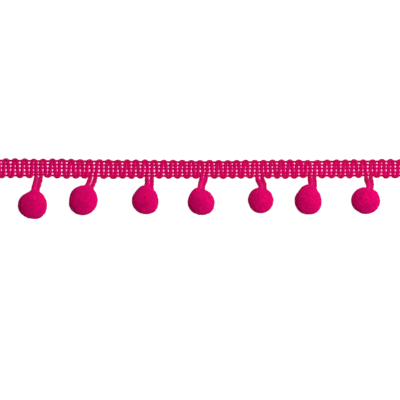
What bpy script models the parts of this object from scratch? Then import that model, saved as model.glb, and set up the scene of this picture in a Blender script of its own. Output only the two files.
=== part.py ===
"""Pompom fringe trim: a cut length of openwork heading braid with seven clipped pompoms.

One thick weft cord runs to and fro across the heading and is bound by five chain-stitched
wales. At every sixth lower turn the cord is drawn out into a loop, and a pompom is tied
into the end of that loop. The trim lies flat on its back.

+X runs along the heading, +Y points away from the pompoms and +Z is up. The origin is the
middle of the heading's flat back, where the trim is sewn on. Sizes are in millimetres until
they are handed to Blender.
"""

import math
import random
from collections import namedtuple

import bmesh
import bpy
from mathutils import Matrix, Vector

MM = 0.001
SEATING_GAP = 0.3  # between pieces that meet

# Heading braid
CUT_END_X = 115.0  # each cut end, from the middle
HEADING_WIDTH = 10.4  # crest to crest of the scallops
SCALLOP_DEPTH = 0.9
WALE_PITCH = 1.98  # across the heading, between two of the five chain-stitched wales
WALES = 5
PASSES_A_LOOP = 12  # weft passes from one loop to the next
PASSES_BEFORE_FIRST_LOOP = 10
PASSES_AFTER_LAST_LOOP = 8
BACK_EDGE_INSET = 0.35  # the back's outline lies this far inside the edge's

# Heights of the heading's face above its back
RIB_HEIGHT = 1.85  # along a weft pass
BOUND_RIB_HEIGHT = 2.0  # where a wale binds the pass
BRIDGE_HEIGHT = 1.35  # a wale between two passes
HOLE_HEIGHT = 0.7  # the hollow between passes and wales
TURN_HOLE_HEIGHT = 1.15  # the smaller hollow inside a turn
TURN_EDGE_HEIGHT = 1.15
NOTCH_EDGE_HEIGHT = 0.85

# The heading as it lies: its middle drifts and its width changes a little along its length
HeadingState = namedtuple("HeadingState", "x drift width_change")
HEADING_STATES = (
    HeadingState(x=-115.0, drift=0.45, width_change=0.5),
    HeadingState(x=-76.0, drift=0.27, width_change=0.4),
    HeadingState(x=-48.0, drift=-0.05, width_change=0.2),
    HeadingState(x=-20.0, drift=-0.1, width_change=-0.1),
    HeadingState(x=9.0, drift=-0.2, width_change=-0.3),
    HeadingState(x=45.0, drift=-0.05, width_change=0.0),
    HeadingState(x=77.0, drift=0.1, width_change=-0.1),
    HeadingState(x=115.0, drift=0.2, width_change=0.1),
)

# Loops, each two legs of the weft cord
LEG_RADIUS = 1.05  # as the cord leaves the heading
BOUND_LEG_RADIUS = 0.88  # where the pompom's tie squeezes it
LEG_START_HEIGHT = 1.07  # the cord's middle at the heading
LEG_STEPS = 7
TURN_STEPS = 4
TIE_DEPTH = 3.6  # how far a loop runs into its pompom
SLOT_CLEARANCE = 0.35

# Pompoms
CELLS_LEVEL, CELLS_UPRIGHT = 3, 2  # 3 x 3 x 2 cells have 42 outer faces, one lock each
UPRIGHT_SHARE = 0.8  # the block's height over its width, which evens out the faces
CELL_JITTER = 0.05
CORE_SHARE = 0.83  # the core's radius over the pompom's
LOCK_GROOVE = 0.34  # half the gap between the roots of two locks
SHOULDER_SHARE = 0.985  # a lock's four corners, over the pompom's radius
TIP_SHARE = 1.015  # its tip, likewise
TIP_SPREAD = 0.02  # how unevenly the locks are clipped
LOCK_TAPER = 0.06
ENTERED_LOCK_FALL = -0.4  # the loop comes in under the pompom's middle, where no lock stands
HEIGHT_SHARE = 0.97  # a pompom's height over its mean breadth
FLATTENING = 0.35  # how far a pompom settles on what it lies on

# heading_x is where the loop leaves the heading, and leg_gap and tie_gap are the distances
# between its legs there and at the tie. centre, width and length place and size the pompom in
# plan. entry_deg is where the loop enters it, 90 being towards the heading, at entry_height.
# The pompom swells out at swell_deg and is clipped short at dent_deg, by those shares.
Pompom = namedtuple(
    "Pompom",
    "heading_x leg_gap tie_gap centre_x centre_y width length entry_deg entry_height"
    " swell_deg swell dent_deg dent",
)
POMPOMS = (
    Pompom(-87.2, 2.7, 2.55, -89.9, -19.4, 16.1, 15.3, 80, 5.8, 176, 0.045, 133, 0.05),
    Pompom(-58.0, 3.4, 2.6, -62.4, -16.8, 15.4, 16.2, 66, 5.6, 100, 0.02, 50, 0.04),
    Pompom(-26.7, 2.9, 2.7, -28.9, -17.0, 14.5, 14.7, 73, 5.6, 100, 0.13, 45, 0.02),
    Pompom(3.0, 2.6, 2.2, 1.5, -17.4, 14.5, 15.0, 89, 6.8, 235, 0.01, 45, 0.05),
    Pompom(33.4, 2.9, 2.4, 33.7, -16.8, 13.9, 14.1, 81, 6.8, 200, 0.02, 250, 0.02),
    Pompom(62.0, 2.7, 2.6, 59.5, -17.0, 14.6, 14.7, 70, 5.6, 101, 0.12, 44, 0.02),
    Pompom(92.8, 2.8, 2.2, 90.6, -17.0, 15.9, 14.6, 67, 6.8, 350, 0.02, 265, 0.02),
)
SWELL_WIDTH = math.radians(30)
DENT_WIDTH = math.radians(26)

FIRST_LOOP_PASS = PASSES_BEFORE_FIRST_LOOP + 0.5
PASSES = PASSES_BEFORE_FIRST_LOOP + PASSES_A_LOOP * (len(POMPOMS) - 1) + 2 + PASSES_AFTER_LAST_LOOP
OUTER_WALE = WALE_PITCH * (WALES - 1) / 2

Finish = namedtuple("Finish", "colour roughness")
HEADING_FINISH = Finish(colour=(0.63, 0.002, 0.115, 1.0), roughness=0.85)
LOOP_FINISH = Finish(colour=(0.68, 0.002, 0.12, 1.0), roughness=0.85)
PILE_FINISH = Finish(colour=(0.72, 0.002, 0.13, 1.0), roughness=0.95)


def clear_scene():
    for thing in list(bpy.data.objects):
        bpy.data.objects.remove(thing)


def new_collection(name):
    collection = bpy.data.collections.new(name)
    bpy.context.scene.collection.children.link(collection)
    return collection


def material_of(name, finish):
    material = bpy.data.materials.new(name)
    material.use_nodes = True
    shader = material.node_tree.nodes["Principled BSDF"]
    shader.inputs["Base Color"].default_value = finish.colour
    shader.inputs["Roughness"].default_value = finish.roughness
    shader.inputs["Metallic"].default_value = 0.0
    return material


def object_of(name, data, collection, material=None):
    thing = bpy.data.objects.new(name, data)
    collection.objects.link(thing)
    if material:
        data.materials.append(material)
    return thing


def between(rows, x, column):
    """A column's value at x, read from the straight lines between the rows."""
    x = min(max(x, rows[0].x), rows[-1].x)
    for low, high in zip(rows, rows[1:]):
        if x <= high.x:
            share = (x - low.x) / (high.x - low.x)
            return getattr(low, column) * (1 - share) + getattr(high, column) * share


# ---------------------------------------------------------------- heading braid


def place_of_pass(number):
    """Where along the heading a weft pass lies. Whole numbers are passes and halves are between."""
    marks = [(-0.5, -CUT_END_X)]
    marks += [
        (FIRST_LOOP_PASS + PASSES_A_LOOP * i, pompom.heading_x) for i, pompom in enumerate(POMPOMS)
    ]
    marks += [(PASSES - 0.5, CUT_END_X)]
    for (pass_a, x_a), (pass_b, x_b) in zip(marks, marks[1:]):
        if number <= pass_b:
            return x_a + (x_b - x_a) * (number - pass_a) / (pass_b - pass_a)


def beside_a_loop(number):
    """Whether a place in the weft belongs to a turn that is drawn out into a loop."""
    first = number - FIRST_LOOP_PASS
    nearest = round(first / PASSES_A_LOOP)
    return 0 <= nearest < len(POMPOMS) and abs(first - nearest * PASSES_A_LOOP) <= 1.0


def share_of_turn(number, side):
    """1 at the crest of a turn, 0 in the notch between two. The upper turns start at pass 1."""
    if side < 0 and beside_a_loop(number):
        return 0.15
    from_crest = (number - (1.5 if side > 0 else 0.5)) % 2
    return {0.0: 1.0, 0.5: 0.78, 1.0: 0.0, 1.5: 0.78}[from_crest]


def face_point(number, row):
    """A point of the heading's face: row 0 is the lower edge, then wales and hollows take turns."""
    last_row = 2 * WALES
    side = 1 if 2 * row > last_row else -1
    turn = share_of_turn(number, side)
    between_passes = number % 1 != 0
    x = place_of_pass(number)
    width = HEADING_WIDTH + between(HEADING_STATES, x, "width_change")
    if row in (0, last_row):
        y = side * (width / 2 - SCALLOP_DEPTH * (1 - turn))
        height = NOTCH_EDGE_HEIGHT + (TURN_EDGE_HEIGHT - NOTCH_EDGE_HEIGHT) * turn
    else:
        y = (row - WALES) * WALE_PITCH / 2 * width / HEADING_WIDTH
        on_wale = row % 2 == 1
        if not between_passes:
            height = BOUND_RIB_HEIGHT if on_wale else RIB_HEIGHT
        elif on_wale:
            height = BRIDGE_HEIGHT
        else:
            in_turn = turn == 1.0 and row in (2, last_row - 2)
            height = TURN_HOLE_HEIGHT if in_turn else HOLE_HEIGHT
    return Vector((x, y + between(HEADING_STATES, x, "drift"), height))


def heading_mesh():
    """The ribbed face as a grid, its rim turned down, and one flat back."""
    columns, rows = 2 * PASSES, 2 * WALES
    shape = bmesh.new()
    bmesh.ops.create_grid(shape, x_segments=columns, y_segments=rows, size=1)
    for vertex in shape.verts:
        column = round((vertex.co.x + 1) / 2 * columns)
        row = round((vertex.co.y + 1) / 2 * rows)
        vertex.co = face_point(column / 2 - 0.5, row)
    rim = [edge for edge in shape.edges if edge.is_boundary]
    turned_down = bmesh.ops.extrude_edge_only(shape, edges=rim)["geom"]
    lower = [item for item in turned_down if isinstance(item, bmesh.types.BMVert)]
    for vertex in lower:
        drift = between(HEADING_STATES, vertex.co.x, "drift")
        from_middle = vertex.co.y - drift
        if abs(from_middle) > OUTER_WALE:
            from_middle -= math.copysign(BACK_EDGE_INSET, from_middle)
        vertex.co = Vector((vertex.co.x, from_middle + drift, 0))
    bmesh.ops.edgeloop_fill(shape, edges=[edge for edge in shape.edges if edge.is_boundary])
    bmesh.ops.recalc_face_normals(shape, faces=shape.faces[:])
    bmesh.ops.scale(shape, vec=Vector((MM, MM, MM)), verts=shape.verts[:])
    mesh = bpy.data.meshes.new("heading_braid")
    shape.to_mesh(mesh)
    shape.free()
    mesh.shade_smooth()
    mesh.set_sharp_from_angle(angle=math.radians(50))
    return mesh


# ---------------------------------------------------------------- pompoms


def in_plan(degrees):
    angle = math.radians(degrees)
    return Vector((math.cos(angle), math.sin(angle), 0))


def radius_towards(pompom, direction):
    """How far the clipped pile reaches in a direction: an ellipsoid with one swell and one dent."""
    half_height = HEIGHT_SHARE * (pompom.width + pompom.length) / 4
    radius = 1 / math.sqrt(
        (direction.x / (pompom.width / 2)) ** 2
        + (direction.y / (pompom.length / 2)) ** 2
        + (direction.z / half_height) ** 2
    )
    swell_off = direction.angle(in_plan(pompom.swell_deg)) / SWELL_WIDTH
    dent_off = direction.angle(in_plan(pompom.dent_deg)) / DENT_WIDTH
    swell = pompom.swell * math.exp(-(swell_off**2))
    dent = pompom.dent * math.exp(-(dent_off**2))
    return radius * (1 + swell - dent)


def centre_of(pompom):
    half_height = HEIGHT_SHARE * (pompom.width + pompom.length) / 4
    return Vector((pompom.centre_x, pompom.centre_y, half_height - FLATTENING))


def brought_to_rest(point, centre):
    """Where the line from the centre through a point meets the surface that the pompom lies on."""
    return centre + (point - centre) * centre.z / (centre.z - point.z)


def block_of_cells():
    """A block cut into cells, whose outer faces are all four-sided."""
    cells = bmesh.new()
    bmesh.ops.create_cube(cells, size=2)
    bmesh.ops.scale(cells, vec=Vector((1, 1, UPRIGHT_SHARE)), verts=cells.verts[:])
    for axis, count in enumerate((CELLS_LEVEL, CELLS_LEVEL, CELLS_UPRIGHT)):
        normal = Vector((0, 0, 0))
        normal[axis] = 1
        for cut in range(1, count):
            place = normal * math.tan(math.pi / 2 * (cut / count - 0.5))
            parts = cells.verts[:] + cells.edges[:] + cells.faces[:]
            bmesh.ops.bisect_plane(cells, geom=parts, plane_co=place, plane_no=normal)
    return cells


def nearest_face(faces, centre, direction):
    return min(faces, key=lambda face: direction.angle(face.calc_center_median() - centre))


def pompom_mesh(name, pompom, seed):
    """A core with a four-sided lock on each cell, clipped to the outline and parted for the loop."""
    draw = random.Random(seed)
    centre = centre_of(pompom)
    shape = block_of_cells()
    turn = Matrix.Rotation(math.radians(pompom.entry_deg), 3, "Z")
    for vertex in shape.verts:
        direction = (turn @ vertex.co).normalized()
        shift = Vector([draw.uniform(-CELL_JITTER, CELL_JITTER) for _ in range(3)])
        direction = (direction + shift).normalized()
        vertex.co = centre + direction * radius_towards(pompom, direction) * CORE_SHARE
    roots = shape.faces[:]
    shape.normal_update()
    bmesh.ops.inset_individual(shape, faces=roots, thickness=LOCK_GROOVE)
    entered = in_plan(pompom.entry_deg) + Vector((0, 0, ENTERED_LOCK_FALL))
    roots.remove(nearest_face(roots, centre, entered))
    locks = bmesh.ops.extrude_discrete_faces(shape, faces=roots)["faces"]
    lowest = nearest_face(locks, centre, Vector((0, 0, -1)))
    for lock in locks:
        rests = lock is lowest
        middle = (lock.calc_center_median() - centre).normalized()
        clipped = 1 + draw.uniform(-TIP_SPREAD, TIP_SPREAD)
        for vertex in lock.verts:
            direction = (vertex.co - centre).normalized().lerp(middle, LOCK_TAPER).normalized()
            reach = radius_towards(pompom, direction) * SHOULDER_SHARE * clipped
            vertex.co = centre + direction * reach
            if rests:
                vertex.co = brought_to_rest(vertex.co, centre)
        if not rests:
            tip = bmesh.ops.poke(shape, faces=[lock])["verts"][0]
            tip.co = centre + middle * radius_towards(pompom, middle) * TIP_SHARE * clipped
    bmesh.ops.scale(shape, vec=Vector((MM, MM, MM)), verts=shape.verts[:])
    mesh = bpy.data.meshes.new(name)
    shape.to_mesh(mesh)
    shape.free()
    return mesh


# ---------------------------------------------------------------- loops


def loop_line(pompom):
    """The middle line between a loop's legs: its start, its entry to the pompom and its run inside."""
    start_y = -(HEADING_WIDTH / 2 - SCALLOP_DEPTH) - SEATING_GAP
    start_y += between(HEADING_STATES, pompom.heading_x, "drift")
    start_y -= between(HEADING_STATES, pompom.heading_x, "width_change") / 2
    start = Vector((pompom.heading_x, start_y, LEG_START_HEIGHT))
    centre = centre_of(pompom)
    towards = in_plan(pompom.entry_deg)
    entry = centre + towards * radius_towards(pompom, towards)
    entry.z = pompom.entry_height
    inward = ((entry - start).normalized() + (centre - entry).normalized()).normalized()
    return start, entry, inward


def bezier(a, b, c, d, share):
    rest = 1 - share
    return a * rest**3 + b * 3 * rest**2 * share + c * 3 * rest * share**2 + d * share**3


def middle_points(pompom):
    """Points down the middle of a loop, each with the direction of travel, from heading to tie."""
    start, entry, inward = loop_line(pompom)
    handle = 0.35 * (entry - start).length
    bends = (start, start + Vector((0, -handle, 0.35 * handle)), entry - inward * handle, entry)
    points = [bezier(*bends, step / LEG_STEPS) for step in range(LEG_STEPS + 1)]
    points.append(entry + inward * (TIE_DEPTH - pompom.tie_gap / 2))
    lines = []
    for i, point in enumerate(points):
        ahead = points[min(i + 1, len(points) - 1)]
        behind = points[max(i - 1, 0)]
        lines.append((point, (ahead - behind).normalized()))
    return lines


def loop_points(pompom):
    """The cord's own points and radii: down one leg, round the tie and up the other leg."""
    lines = middle_points(pompom)
    legs = {-1: [], 1: []}
    for i, (point, travel) in enumerate(lines):
        share = i / (len(lines) - 1)
        across = travel.cross(Vector((0, 0, 1))).normalized()
        if i == 0:
            across = Vector((-1, 0, 0))
        gap = pompom.leg_gap + (pompom.tie_gap - pompom.leg_gap) * share
        radius = LEG_RADIUS + (BOUND_LEG_RADIUS - LEG_RADIUS) * share
        for side in legs:
            legs[side].append((point + across * side * gap / 2, radius))
    end, travel = lines[-1]
    across = travel.cross(Vector((0, 0, 1))).normalized()
    turn = []
    for step in range(1, TURN_STEPS):
        angle = math.pi * step / TURN_STEPS
        swing = -across * math.cos(angle) + travel * math.sin(angle)
        turn.append((end + swing * pompom.tie_gap / 2, BOUND_LEG_RADIUS))
    return legs[-1] + turn + legs[1][::-1]


def cord_curve(name, points):
    """A round cord through the points, with flat ends."""
    curve = bpy.data.curves.new(name, "CURVE")
    curve.dimensions = "3D"
    curve.bevel_depth = LEG_RADIUS * MM
    curve.bevel_resolution = 2
    curve.use_fill_caps = True
    spline = curve.splines.new("POLY")
    spline.points.add(len(points) - 1)
    for spot, (place, radius) in zip(spline.points, points):
        spot.co = (*(place * MM), 1)
        spot.radius = radius / LEG_RADIUS
    return curve


def slot_section(name, half_width, half_height, collection):
    """A flat oval as a closed curve, wide enough for both legs and their clearance."""
    section = bpy.data.curves.new(name, "CURVE")
    section.dimensions = "2D"
    spline = section.splines.new("POLY")
    corners = []
    for step in range(10):
        angle = math.pi * (step % 5) / 4 - math.pi / 2
        side = 1 if step < 5 else -1
        shift = half_width - half_height
        corners.append((side * (shift + half_height * math.cos(angle)), side * half_height * math.sin(angle)))
    spline.points.add(len(corners) - 1)
    for spot, (x, y) in zip(spline.points, corners):
        spot.co = (x * MM, y * MM, 0, 1)
    spline.use_cyclic_u = True
    guide = object_of(name, section, collection)
    guide.hide_render = True
    return guide


def slot_cutter(name, pompom, collection):
    """The room that the loop takes in its pompom, as a mesh for the Boolean."""
    half_height = LEG_RADIUS + SLOT_CLEARANCE
    half_width = max(pompom.leg_gap, pompom.tie_gap) / 2 + half_height
    section = slot_section(name + "_section", half_width, half_height, collection)
    line = [point for point, _ in middle_points(pompom)][LEG_STEPS // 2 :]
    inward = (line[-1] - line[-2]).normalized()
    line[-1] = line[-1] + inward * (pompom.tie_gap / 2 + BOUND_LEG_RADIUS + SLOT_CLEARANCE)
    curve = bpy.data.curves.new(name + "_line", "CURVE")
    curve.dimensions = "3D"
    curve.twist_mode = "Z_UP"
    curve.bevel_mode = "OBJECT"
    curve.bevel_object = section
    curve.use_fill_caps = True
    spline = curve.splines.new("POLY")
    spline.points.add(len(line) - 1)
    for spot, place in zip(spline.points, line):
        spot.co = (*(place * MM), 1)
    guide = object_of(name + "_line", curve, collection)
    bpy.context.view_layer.update()
    evaluated = guide.evaluated_get(bpy.context.evaluated_depsgraph_get())
    mesh = bpy.data.meshes.new_from_object(evaluated)
    shape = bmesh.new()
    shape.from_mesh(mesh)
    bmesh.ops.remove_doubles(shape, verts=shape.verts[:], dist=0.00001)
    bmesh.ops.recalc_face_normals(shape, faces=shape.faces[:])
    shape.to_mesh(mesh)
    shape.free()
    cutter = object_of(name, mesh, collection)
    cutter.matrix_world = guide.matrix_world
    bpy.data.objects.remove(guide)
    bpy.data.objects.remove(section)
    cutter.hide_render = True
    cutter.display_type = "WIRE"
    return cutter


# ---------------------------------------------------------------- assembly


def build_heading(trim):
    object_of("heading_braid", heading_mesh(), trim, material_of("heading yarn", HEADING_FINISH))


def build_loops(trim):
    yarn = material_of("loop yarn", LOOP_FINISH)
    for number, pompom in enumerate(POMPOMS, 1):
        name = f"loop_{number}"
        object_of(name, cord_curve(name, loop_points(pompom)), trim, yarn)


def build_pompoms(trim, cutters):
    pile = material_of("clipped pile", PILE_FINISH)
    for number, pompom in enumerate(POMPOMS, 1):
        name = f"pompom_{number}"
        ball = object_of(name, pompom_mesh(name, pompom, seed=number), trim, pile)
        slot = ball.modifiers.new("loop slot", "BOOLEAN")
        slot.operation = "DIFFERENCE"
        slot.object = slot_cutter(f"slot_{number}", pompom, cutters)


def main():
    clear_scene()
    trim = new_collection("Pompom fringe trim")
    cutters = new_collection("Cutters")
    build_heading(trim)
    build_loops(trim)
    build_pompoms(trim, cutters)


main()
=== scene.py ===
"""Pompom fringe trim, dressed in its yarns: an openwork heading braid with clipped pompoms.

One softly twisted weft cord runs to and fro across the heading, five chains of binding thread
hold it, and at every sixth lower turn the cord drops in a loop that carries a pompom.
"""

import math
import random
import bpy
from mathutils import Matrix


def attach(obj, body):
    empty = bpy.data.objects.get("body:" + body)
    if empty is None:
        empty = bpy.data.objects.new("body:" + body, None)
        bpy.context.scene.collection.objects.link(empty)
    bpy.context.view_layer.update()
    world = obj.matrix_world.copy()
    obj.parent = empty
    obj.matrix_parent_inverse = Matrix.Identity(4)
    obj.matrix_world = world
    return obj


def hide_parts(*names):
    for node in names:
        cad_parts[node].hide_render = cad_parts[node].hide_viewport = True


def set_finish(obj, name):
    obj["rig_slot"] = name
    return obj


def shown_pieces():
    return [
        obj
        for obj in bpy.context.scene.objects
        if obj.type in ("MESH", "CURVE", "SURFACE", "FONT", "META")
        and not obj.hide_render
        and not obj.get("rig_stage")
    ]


bl_info = {
    "name": "Pompom Fringe Trim",
    "version": (1, 0, 0),
    "blender": (4, 5, 0),
    "location": "3D View > Sidebar > Trim",
    "description": "Openwork heading braid with clipped pompoms on loops of its cord",
    "category": "Object",
}

from collections import namedtuple

import bpy
import numpy as np
from mathutils import kdtree

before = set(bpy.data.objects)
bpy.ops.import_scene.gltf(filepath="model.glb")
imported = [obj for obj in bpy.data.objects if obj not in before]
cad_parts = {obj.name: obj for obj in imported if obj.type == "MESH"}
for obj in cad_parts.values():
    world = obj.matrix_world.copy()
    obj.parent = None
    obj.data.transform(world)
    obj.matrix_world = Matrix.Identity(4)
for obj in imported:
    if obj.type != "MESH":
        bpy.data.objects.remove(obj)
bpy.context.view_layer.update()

MM = 0.001
TINY = 1e-6

# ---- sizes, in millimetres

CUT_END_X = 115.0  # each cut end, from the middle of the heading
HEADING_WIDTH = 10.4  # crest to crest of the scallops
WALES = 5
WALE_PITCH = 1.98
WALE_RISES = (0.24, 0.02, 0.18, 0.14, 0.0)  # how far each wale sits above its even place
PASSES_A_LOOP = 12
PASSES_BEFORE_FIRST_LOOP = 10
PASSES_AFTER_LAST_LOOP = 8

# The heading as it lies: its middle drifts and its width changes a little along its length, and
# the weft slips along it from its even places. The first number of each row is a place along it.
# fmt: off
HEADING_X, DRIFT, WIDTH_CHANGE = zip(
    (-115, 0.45, 0.5), (-93, 0.33, 0.4), (-85, 0.3, 0.05), (-76, 0.27, 0.4), (-48, -0.05, 0.2),
    (-20, -0.1, -0.1), (9, -0.2, -0.3), (45, -0.05, 0.0), (52, -0.02, 0.0), (61, 0.02, -0.4),
    (70, 0.07, -0.1), (77, 0.1, -0.1), (115, 0.2, 0.1),
)
SLIP_X, SLIP = zip(
    (-115, 0.0), (-85, -0.06), (-79, 0.29), (-73, 0.45), (-67, 0.65), (-61, 0.55), (-54, 1.04),
    (-48, 1.01), (-42, 0.71), (-36, 0.41), (-30, 0.2), (-24, 0.17), (-18, 0.35), (-12, 0.66),
    (-6, 0.79), (0, 0.55), (12, 0.54), (18, 0.34), (24, -0.01), (33, -0.16), (45, -0.05),
    (61, 0.17), (73, 0.57), (79, 0.34), (85, -0.11), (91, -0.4), (103, -0.21), (115, 0.0),
)
# fmt: on

# Weft cord in the heading
WEFT_SEED = 11
CORD_HEIGHT = 1.12  # the cord's middle above the surface
PASS_RADIUS = 1.2
BOUND_RADIUS = 1.02  # where a wale binds it
CREST_RADIUS = 1.08  # at the crest of a turn
CREST_RISE = 0.23  # how far fluffed crests stand beyond the heading's width
TURN_DEPTH = 1.22
TURN_PINCH = 0.16  # how far the two passes of a turn draw together
TURN_FLARE = 0.32  # and how far the turn itself spreads
TURN_SINK = 0.08
TURN_STEPS = 16
TURN_DRAW_FROM, TURN_DRAW_TO = 0.2, 3.1  # across the heading, where the passes draw together
LOOP_DRAW_FROM = 1.3  # and where those of a loop start to
LEAN_REACH = 3  # how far across from the middle a pass has its whole lean
PASS_WAVE = 1.6  # how quickly a pass sways, in radians a millimetre
PASS_STEP = 0.15
CORD_FLATTENING = 0.86  # its height, as a share of its width
CORD_STEP = 0.36  # between two rings of the cord's mesh
PLIES = 4
CORD_SECTION = (PLIES, 0.13, 4 * PLIES)  # its plies, the grooves between them, and its points
TWIST_PITCH = 13.0

# Binding thread
THREAD_RADIUS = 0.3
THREAD_SINK = 0.7  # how far its middle stands off the cord, as a share of its radius
THREAD_STEP = 0.33
THREAD_RESTS = 0.9  # the lowest that its middle goes, as a share of its radius
THREAD_OVER = 0.25  # a stitch point this far above the cord's middle lies over the cord
THREAD_UNDER = 0.5  # and one below this height lies under it
LOWEST_CHAIN_LIFT = 0.8  # how far the lowest chain follows the heading's edge up beside a loop
LIFT_REACH = 5.5  # and how far along the heading that lasts

# Painted glow: the yarn shines with its own light where it borders a gap in the heading
THREAD_PAINTED_GLOW = (0.08, 0.3, 0.24, 0.18, 0.0)  # how much painted glow each wale's thread has over a gap
GAP_STARTS = 0.8  # how far from a pass's middle it starts
GAP_FADE = 0.4
SIDE_SHARPNESS = 4  # how closely it keeps to the sides of the cord that face a gap
SIDE_FADE = 1.6  # how far in from the heading's edges it comes to its full strength
LEG_PAINTED_GLOW = 0.4  # how much painted glow the loop's cord has between its legs
LEG_GLOW_REACH = 1.5  # and how far from the line between them
LEG_GLOW_FADE = 0.9

# One chain stitch: places along as shares of the pass pitch, and across and up in millimetres.
# The second leg mirrors the first, and the thread then runs back under to the next stitch.
STITCH_LEG = (
    (-0.07, -0.29, 0.62),
    (-0.03, -0.32, 1.12),
    (0.10, -0.32, 1.54),
    (0.28, -0.32, 1.88),
    (0.50, -0.34, 2.02),
    (0.74, -0.37, 1.86),
    (0.93, -0.37, 1.42),
    (1.06, -0.30, 1.10),
)
STITCH_HEAD = (1.11, 0.0, 1.02)
STITCH_UNDERLAP = ((0.10, 0.06, 0.28), (0.50, 0.0, 0.21), (0.86, -0.06, 0.28))

# Loops
LEG_RADIUS = 1.33
LEG_PRESS = 1.16  # how wide a leg is, as a share of its half of the gap
LEG_DRAW = 0.14  # how far each leg sits in from the edge of its solid
LEG_CLEARANCE = 0.17  # from a leg's surface to the middles of the yarn ends beside it
LEG_START_HEIGHT = 1.07
LEG_START_FROM_EDGE = 0.3
SCALLOP_DEPTH = 0.9
LEG_STEPS = 7
LEG_BEND = 0.35  # how far each end keeps straight, as a share of the leg's length
LEG_LEAN = 0.5  # how far the leg leans to its pompom as it leaves, as a share of the whole
LEG_RISE = 0.35  # and how far it rises
LOOP_TOP_DEPTH = 0.35  # how far below its wale the cord swells into the loop
LOOP_TOP_RADIUS = 1.1
LOOP_STEP = 0.3  # between two rings of the loop's mesh
LOOP_SMOOTHINGS = 3
TIE_DEPTH = 3.6
TIE_STEPS = 9
CORD_CLEARANCE = 0.01  # least height of a loop's underside

# Hairs
HAIR_SECTION = (1, 0.0, 3)
HAIR_LEAN = 0.5
HAIR_SIZES = (0.6, 0.6, 0.6), (1.5, 1.5, 1.4)
HAIR_LEAST = 0.15  # how thickly they stand on faces that don't look along the heading
HAIR_CLEARANCE = 0.02  # least height of a hair
THICKEST_SCATTER = 4.0  # most strands tried, in a square as wide as their spacing

# Pompoms
END_SIDES = 3
END_TAPER = 0.75  # a yarn end's tip, as a share of its root
END_LEAN = 0.22  # how far it may lean, in radians
END_SIZES = (0.8, 0.8, 1.0), (1.2, 1.2, 1.3)  # least and most, as shares of its thickness and length
SHORTEST_END = 0.12  # how far the shortest yarn ends stand out of the pompom's dense middle
CLIP_SPREAD = (-0.02, 0.008)  # how unevenly the ends are clipped, as shares of the pompom's radius
LUMPS = ((20, 0.9, 0.12), (40, 0.28, 0.15))  # how many waves, their length in radians, their height
HEIGHT_SHARE = 0.97
PILE_SHIFT = (0.05, -0.15, 0.0)
FLATTENING = 0.35
SWELL_WIDTH = math.radians(30)
BULGE_WIDTH = math.radians(34)
DENT_WIDTH = math.radians(26)
PARTING_WIDTH = math.radians(19)
PARTING_RISE = 0.2

# heading_x is where the loop leaves the heading, and leg_gap and tie_gap are the distances
# between its legs there and at the tie. centre, width and length place and size the pompom in
# plan. entry_deg is where the loop enters it, 90 being towards the heading, at entry_height.
# The pompom swells out at swell_deg and bulges at bulge_deg, and it is clipped short at dent_deg,
# by those shares. Its pile parts over the loop by the share parting. edge_lift is how far the
# loop pulls up the heading's lower edge beside it.
Pompom = namedtuple(
    "Pompom",
    "heading_x leg_gap tie_gap centre_x centre_y width length entry_deg entry_height"
    " swell_deg swell bulge_deg bulge dent_deg dent parting edge_lift",
)
# fmt: off
POMPOMS = (
    Pompom(-87.2, 2.7, 2.55, -89.9, -19.1, 15.5, 15.7, 80, 5.8, 199, 0.05, 310, 0.09, 118, 0.12, 0.0, 0.5),
    Pompom(-57.6, 3.05, 2.8, -62.5, -16.9, 15.8, 16.2, 66, 5.6, 55, 0.04, 218, 0.043, 169, 0.055, 0.0, 0.1),
    Pompom(-26.7, 2.9, 2.7, -29.0, -16.8, 14.5, 15.1, 74, 5.6, 86, 0.083, 312, 0.108, 141, 0.067, 0.0, 0.1),
    Pompom(3.0, 2.6, 2.2, 1.5, -17.9, 14.8, 14.1, 89, 6.8, 103, 0.22, 321, 0.057, 17, 0.03, 0.2, 0.1),
    Pompom(33.4, 2.9, 2.4, 33.7, -16.9, 14.2, 13.9, 81, 6.8, 90, 0.04, 284, 0.023, 199, 0.05, 0.2, 0.1),
    Pompom(62.0, 2.7, 2.6, 59.4, -17.1, 14.7, 15.3, 72, 5.6, 99, 0.19, 320, 0.06, 122, 0.085, 0.0, 0.1),
    Pompom(92.8, 2.8, 2.2, 90.5, -17.0, 15.4, 14.8, 71, 6.8, 50, 0.04, 337, 0.056, 235, 0.02, 0.2, 0.3),
)
# fmt: on

# Yarn finishes. The scales are in waves a metre.
YARN_SHEEN = (1.0, 0.0, 0.4)
HAIR_SHEEN = (1.0, 0.2, 0.6)
CORD_PATCHES = 420.0
CORD_PATCH_CONTRAST = 0.6
FIBRE_RUN = 0.25  # how quickly the fibres change along a cord, in waves a millimetre
FIBRE_CHANGE = 60.0  # and from one pass to the next
FIBRE_CONTRAST = 2.2
GROOVE_PAINTED_SHADE = 0.6  # how far the cord's colour turns to its shade colour in the grooves between the plies: painted shade
PILE_PATCHES = 330.0
PILE_PATCH_CONTRAST = 0.45
PILE_FLUFF = 4200.0
PILE_FLUFF_CONTRAST = 0.15
PILE_TONE = 0.75  # how far the pile's colour is from its shade, at the least
PAINTED_ROOT_SHADE = 0.15  # how much paler the tips of the ends are than their roots: painted shade deep among the ends
END_TONE = 0.1  # and what the palest ends do
HAIR_TONE = 0.5

# Light and view, in watts and metres
SKY_STRENGTH = 0.15
KEY_POWER = 10.3
KEY_SIZE = 0.5
KEY_PLACE = (0.375, 0.159, 0.836)
FLOOR_SIZE = 6.0
VIEW_HEIGHT = 0.001  # the height at which the camera takes in the view's width

PASSES = PASSES_BEFORE_FIRST_LOOP + PASSES_A_LOOP * (len(POMPOMS) - 1) + 2 + PASSES_AFTER_LAST_LOOP
LOOP_PASSES = [PASSES_BEFORE_FIRST_LOOP + 0.5 + PASSES_A_LOOP * i for i in range(len(POMPOMS))]
OUTER_WALE = WALE_PITCH * (WALES - 1) / 2

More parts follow.
